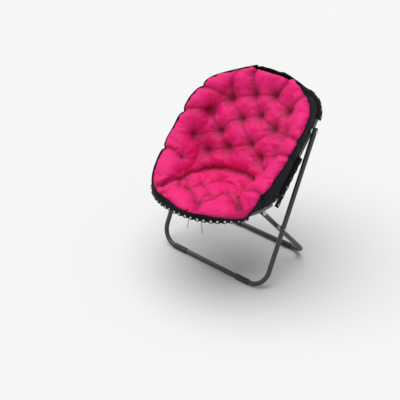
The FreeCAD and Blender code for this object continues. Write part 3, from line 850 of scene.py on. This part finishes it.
def padMesh(part, rows):
    columns = padShape["columns"]
    kept = {}

    def upper(a, b):
        u, t, edge = padSpread(part, a, b)
        spots, shade, pinned = tufted(u, t, edge)
        rowsAway = padEnd(part, b, rows)
        free = np.clip(1 - rowsAway / padRoll["rows"], 0, 1)
        sink = padRoll["drop"] * (1 - np.sqrt(1 - free**2)) * easeStep((1 - np.abs(u)) / padRoll["corner"])
        spots = spots - padNormal(u, t) * sink[:, None]
        ends = rowsAway < 0.5
        sides = [side < 0.5 / columns for side in (1 - a, a)]
        if part == "seat":
            spots = draped(spots, u, t, np.flatnonzero(ends | sides[0] | sides[1]))
        right, left = [np.flatnonzero(side & ~ends) for side in sides]
        end = np.flatnonzero(ends)
        right = right[np.argsort(-rowsAway[right])]
        left = left[np.argsort(rowsAway[left])]
        order = np.r_[right, end[np.argsort(-a[end])], left]
        rimLines[part] = spots[order], u[order], t[order], ends[order]
        kept["shade"] = shade
        kept["pin"] = np.maximum(pinned, (free >= 0.99) * 1.0)
        kept["upper"] = spots
        return spots

    def lower(a, b):
        u, t, edge = padSpread(part, a, b)
        near = np.minimum(np.minimum(b, 1 - b) * rows, np.minimum(a, 1 - a) * columns)
        share = easeStep(near / padRoll["closeRows"])[:, None]
        return kept["upper"] * (1 - share) + padFloor(u, t) * share

    bm = gridSheet(columns, rows, upper)
    under = gridSheet(columns, rows, lower)
    bmesh.ops.reverse_faces(under, faces=under.faces)
    spare = bpy.data.meshes.new("spare")
    under.to_mesh(spare)
    under.free()
    count = len(bm.verts)
    bm.from_mesh(spare)
    bpy.data.meshes.remove(spare)
    # The crease attribute holds painted shade for the pad's colour, from the dips and seams on top and a
    # fixed amount underneath
    layers = {key: bm.verts.layers.float.new(key) for key in ("crease", "hold")}
    for index, vert in enumerate(bm.verts):
        top = index < count
        vert[layers["crease"]] = min(1.0, kept["shade"][index]) if top else padShade["under"]
        vert[layers["hold"]] = kept["pin"][index] if top else 1.0
    rim = [edge for edge in bm.edges if edge.is_boundary]
    rimVerts = list({vert for edge in rim for vert in edge.verts})
    for vert in rimVerts:
        vert[layers["hold"]] = 1.0
    bmesh.ops.remove_doubles(bm, verts=rimVerts, dist=0.02 * mm)
    return meshOf(part + "Pad", bm)


# The filling swells the cloth between the tufts
swell = {
    "frames": 18,
    "quality": 4,
    "mass": 0.2,
    "pressure": 6.5,
    "slack": -0.05,  # of the cloth's size, so it is cut larger
    "stiff": 9.0,
    "bend": 0.25,
    "cap": 16.0,
}


def inflate(pad):
    mesh = pad.data
    before = np.array([vert.co for vert in mesh.vertices])
    group = pad.vertex_groups.new(name="held")
    for index, item in enumerate(mesh.attributes["hold"].data):
        group.add([index], min(1.0, item.value), "REPLACE")
    cloth = pad.modifiers.new("swell", "CLOTH")
    settings = cloth.settings
    settings.quality = swell["quality"]
    settings.mass = swell["mass"]
    settings.vertex_group_mass = "held"
    settings.pin_stiffness = 1.0
    settings.tension_stiffness = swell["stiff"]
    settings.compression_stiffness = swell["stiff"]
    settings.shear_stiffness = swell["stiff"] / 2
    settings.bending_stiffness = swell["bend"]
    settings.use_pressure = True
    settings.uniform_pressure_force = swell["pressure"]
    settings.shrink_min = swell["slack"]
    settings.effector_weights.gravity = 0
    cloth.collision_settings.use_collision = False
    cloth.point_cache.frame_start = 1
    cloth.point_cache.frame_end = swell["frames"]
    for step in range(1, swell["frames"] + 1):
        scene.frame_set(step)
    ready = pad.evaluated_get(bpy.context.evaluated_depsgraph_get())
    after = np.array([vert.co for vert in ready.data.vertices])
    pad.modifiers.remove(cloth)
    pad.vertex_groups.remove(group)
    scene.frame_set(1)
    move = after - before
    far = np.linalg.norm(move, axis=1, keepdims=True)
    cap = swell["cap"] * mm
    move *= np.where(far > 1e-9, cap * np.tanh(far / cap) / np.maximum(far, 1e-9), 0)
    mesh.vertices.foreach_set("co", (before + move).ravel())
    mesh.update()
    print(pad.name, "swelled by up to", round(float(far.max()) / mm, 1), "mm")


# Each soft piece is cut in three: the middle and the two sides
sideFold = {"cut": 215.0, "lean": math.radians(20), "sideKeep": 0.06, "middleKeep": 0.1}
hoopBody = {"seat": "front_hoop", "back": "back_hoop"}
hoopKind = {"seat": "front", "back": "back"}


def squashed(piece, part, hand=0):
    kind = hoopKind[part]
    anchor = onHoop(kind, hand * ring["half"], 0, 0) * mm
    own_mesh(piece)


def finished(maker):
    # the mesh with its modifiers applied; the maker goes
    mesh = bpy.data.meshes.new_from_object(maker.evaluated_get(bpy.context.evaluated_depsgraph_get()))
    bpy.data.objects.remove(maker)
    return mesh


def inThree(name, mesh, part, slotName, nodes, closed):
    pieces = []
    for label, hand in (("", 0), ("Left", 1), ("Right", -1)):
        bm = bmesh.new()
        bm.from_mesh(mesh)
        for side in (-1, 1) if hand == 0 else (hand,):
            everything = list(bm.verts) + list(bm.edges) + list(bm.faces)
            spot = across * (side * sideFold["cut"] * mm)
            cut = bmesh.ops.bisect_plane(
                bm, geom=everything, dist=1e-7, plane_co=spot, plane_no=across * side,
                clear_outer=hand == 0, clear_inner=hand != 0)
            if closed:
                loop = [item for item in cut["geom_cut"] if isinstance(item, bmesh.types.BMEdge)]
                for edge in loop:
                    edge.smooth = False
                bmesh.ops.holes_fill(bm, edges=loop)
        piece = addPiece(name + label, meshOf(name + label, bm), hoopBody[part], slotName, nodes)
        squashed(piece, part, hand)
        pieces.append(piece)
    bpy.data.meshes.remove(mesh)
    return pieces


def addPad(part, rows):
    maker = bpy.data.objects.new(part + "Filling", padMesh(part, rows))
    scene.collection.objects.link(maker)
    inflate(maker)
    smooth = maker.modifiers.new("cloth", "SUBSURF")
    smooth.levels = 1
    smooth.render_levels = 1
    for piece in inThree(part + "Pad", finished(maker), part, "pad_fabric", [part + "_pad"], True):
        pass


addPad("seat", padShape["seatRows"])
addPad("back", padShape["backRows"])
print("pads made")

# The black tub: a bowl hung in the ring and a wall from the ring up to the pad's rim
tub = {
    "thick": 2.2,
    "inset": 8.0,  # bowl inside the ring's centreline
    "columns": 96,
    "rows": 60,
    "endRows": 5,
    "wrinkle": 1.3,
    "wrinkleScale": 13.0,
    "wrinkleSeed": 11,
    "wrinkleEdge": (0.9, 0.3),  # none past the first share of the half width, full a second share inside it
    "wallRows": 14,
    "foot": 8.5,  # wall's foot over the plane of the tube
    "bulge": 5.0,
    "pucker": 1.6,
    "puckers": 19.0,  # millimetres from fold to fold
    "bowlWide": 0.58,  # metres, of the flat cloth
    "wallWide": 0.15,
    "cutShare": 0.8,  # of the flat cloth, once it is cut to shape
}
# Bound edge where pad and tub meet
binding = {
    "diameter": 9.0,
    "out": 5.0,
    "up": 5.0,
    "topUp": 13.0,  # more at the top, over the last sections
    "topRun": (1.8, 1.4),
    "evenRun": (1.2, 0.8),  # the two top corners are evened out
    "passes": 60,
}


def footAt(kind, t):
    # distance of a section's foot from the hinge along the hoop
    y, z = sectionAt(t)[:2]
    return (y - ring["hinge"][1]) * hoopAlong[kind][1] + (z - ring["hinge"][2]) * hoopAlong[kind][2]


def onHoops(kind, x, s, h):
    flat = np.outer(x, across) + np.outer(s, hoopAlong[kind])
    return flat + np.outer(h - ring["drop"], hoopNormal[kind]) + ring["hinge"]


def bowlSheet(part):
    kind = hoopKind[part]
    free = 0.0 if part == "seat" else lastSection
    rows = tub["rows"] + tub["endRows"]
    endShare = tub["endRows"] / rows

    def place(a, b):
        u = 2 * a - 1
        t = free + (hingeSection - free) * np.clip((b - endShare) / (1 - endShare), 0, 1)
        x = u * (hoopWidth(kind, footAt(kind, t)) - tub["inset"])
        spots = sectionPlace(t, x, sectionAt(t)[9] * (1 - u**2))
        flatFrom, fade = tub["wrinkleEdge"]
        shake = tub["wrinkle"] * ripples(spots, tub["wrinkleScale"], tub["wrinkleSeed"])
        shake = shake * easeStep((flatFrom - np.abs(u)) / fade)
        spots = spots + np.outer(shake, hoopNormal[kind])
        climb = np.clip(1 - b / endShare, 0, 1)
        far = onHoops(kind, x, hoopReach(kind, x) - tub["inset"], np.zeros(len(x)))
        return spots + (far - spots) * climb[:, None]

    return gridSheet(tub["columns"], rows, place)


def nearTop(t, run):
    first, length = run
    return easeStep((t - lastSection + first) / length)


def boundEdge(part):
    rim, u, t, ends = rimLines[part]
    away = (rim - onHoop(hoopKind[part], 0, ring[hoopKind[part]]["long"] / 2, 0)) * (1, 1, 0)
    away /= np.linalg.norm(away, axis=1, keepdims=True)
    up = binding["up"] + binding["topUp"] * nearTop(t, binding["topRun"])
    spots = rim + away * binding["out"] + np.outer(up, upright)
    even = spots.copy()
    for step in range(binding["passes"]):
        even[1:-1] = (even[:-2] + 2 * even[1:-1] + even[2:]) / 4
    return spots + (even - spots) * nearTop(t, binding["evenRun"])[:, None]


def wallSheet(part):
    kind = hoopKind[part]
    rim, u, t, ends = rimLines[part]
    top = boundEdge(part)
    s = footAt(kind, t)
    x = np.where(ends, rim[:, 0] / np.abs(rim[ends, 0]).max(), np.sign(u)) * hoopWidth(kind, s)
    s = np.where(ends, hoopReach(kind, x), s)
    feet = onHoops(kind, x, s, np.full(len(s), tub["foot"]))
    middle = onHoop(kind, 0, ring[kind]["long"] / 2, tub["foot"])
    away = (feet - middle) / np.linalg.norm(feet - middle, axis=1, keepdims=True)
    walk = np.r_[0, np.cumsum(np.linalg.norm(np.diff(rim, axis=0), axis=1))]
    last = len(rim) - 1

    def place(a, b):
        index = np.rint(a * last).astype(int)
        belly = 4 * b * (1 - b)
        folded = np.sin(2 * np.pi * walk[index] / tub["puckers"])
        out = tub["bulge"] * belly + tub["pucker"] * belly * folded
        return feet[index] + (top - feet)[index] * b[:, None] + away[index] * out[:, None]

    return gridSheet(last, tub["wallRows"], place)


def addCloth(piece):
    solid = piece.modifiers.new("cloth", "SOLIDIFY")
    solid.thickness = tub["thick"] * mm
    solid.offset = 0


def addTub(part):
    bm = bowlSheet(part)
    bmesh.ops.recalc_face_normals(bm, faces=bm.faces)
    name = part + "Shell"
    bowl = addPiece(name, meshOf(name, bm), hoopBody[part], "shell_fabric", [part + "_shell"])
    addCloth(bowl)
    squashed(bowl, part)
    wall = wallSheet(part)
    bmesh.ops.recalc_face_normals(wall, faces=wall.faces)
    for piece in inThree(part + "Wall", meshOf(part + "Wall", wall), part, "shell_fabric", [], False):
        addCloth(piece)


def addBinding(part):
    curve = bpy.data.curves.new(part + "Binding", "CURVE")
    curve.dimensions = "3D"
    curve.bevel_depth = binding["diameter"] / 2 * mm
    curve.bevel_resolution = 2
    curve.use_fill_caps = True
    spots = boundEdge(part)
    spline = curve.splines.new("POLY")
    spline.points.add(len(spots) - 1)
    for point, spot in zip(spline.points, spots):
        point.co = (*(Vector(spot) * mm), 1)
    maker = bpy.data.objects.new("maker", curve)
    scene.collection.objects.link(maker)
    inThree(part + "Binding", finished(maker), part, "shell_fabric", [], True)


for part in hoopBody:
    addTub(part)
    addBinding(part)
print("tub and binding made")

# Floor, backdrop and soft light
studio = {
    "floor": 0.93,
    "mottle": 0.004,
    "floorSize": 30.0,
    "sky": 0.33,
    "sun": 2.15,
    "sunAngle": math.radians(70),
    "sunFrom": (-0.2, -0.1, 1.0),
}


def floorNodes(nodes):
    cloud = nodes.noise(nodes.objectSpot(), 3.0, 2.0)
    dark, light = studio["floor"] - studio["mottle"], studio["floor"] + studio["mottle"]
    return {
        "Base Color": nodes.mix(cloud, (dark,) * 3, (light,) * 3),
        "Roughness": 0.9,
        "Specular IOR Level": 0.0,
    }


floorMesh = bmesh.new()
bmesh.ops.create_grid(floorMesh, x_segments=2, y_segments=2, size=studio["floorSize"])
floor = bpy.data.objects.new("floor", meshOf("floor", floorMesh))
floor.data.materials.append(makeFinish("floorPaint", floorNodes))
scene.collection.objects.link(floor)

world = bpy.data.worlds.new("studio")
world.use_nodes = True
scene.world = world
sky = NodeTree(world.node_tree)
rayKinds = ("Is Camera Ray", "Is Glossy Ray", "Is Transmission Ray")
rays = [sky.add("ShaderNodeLightPath", out=kind) for kind in rayKinds]
seen = (rays[0] + rays[1] + rays[2]).between(0, 1)
light = sky.add("ShaderNodeBackground", {}, {"Color": (1, 1, 1, 1), "Strength": studio["sky"]})
shown = sky.add("ShaderNodeBackground", {}, {"Color": (1, 1, 1, 1), "Strength": studio["floor"]})
both = sky.add("ShaderNodeMixShader", {}, {0: seen, 1: light, 2: shown})
sky.add("ShaderNodeOutputWorld", {}, {"Surface": both})

sun = bpy.data.objects.new("softSun", bpy.data.lights.new("softSun", "SUN"))
sun.data.energy = studio["sun"]
sun.data.angle = studio["sunAngle"]
sun.rotation_euler = Vector(studio["sunFrom"]).to_track_quat("Z", "Y").to_euler()
scene.collection.objects.link(sun)
print("studio made")
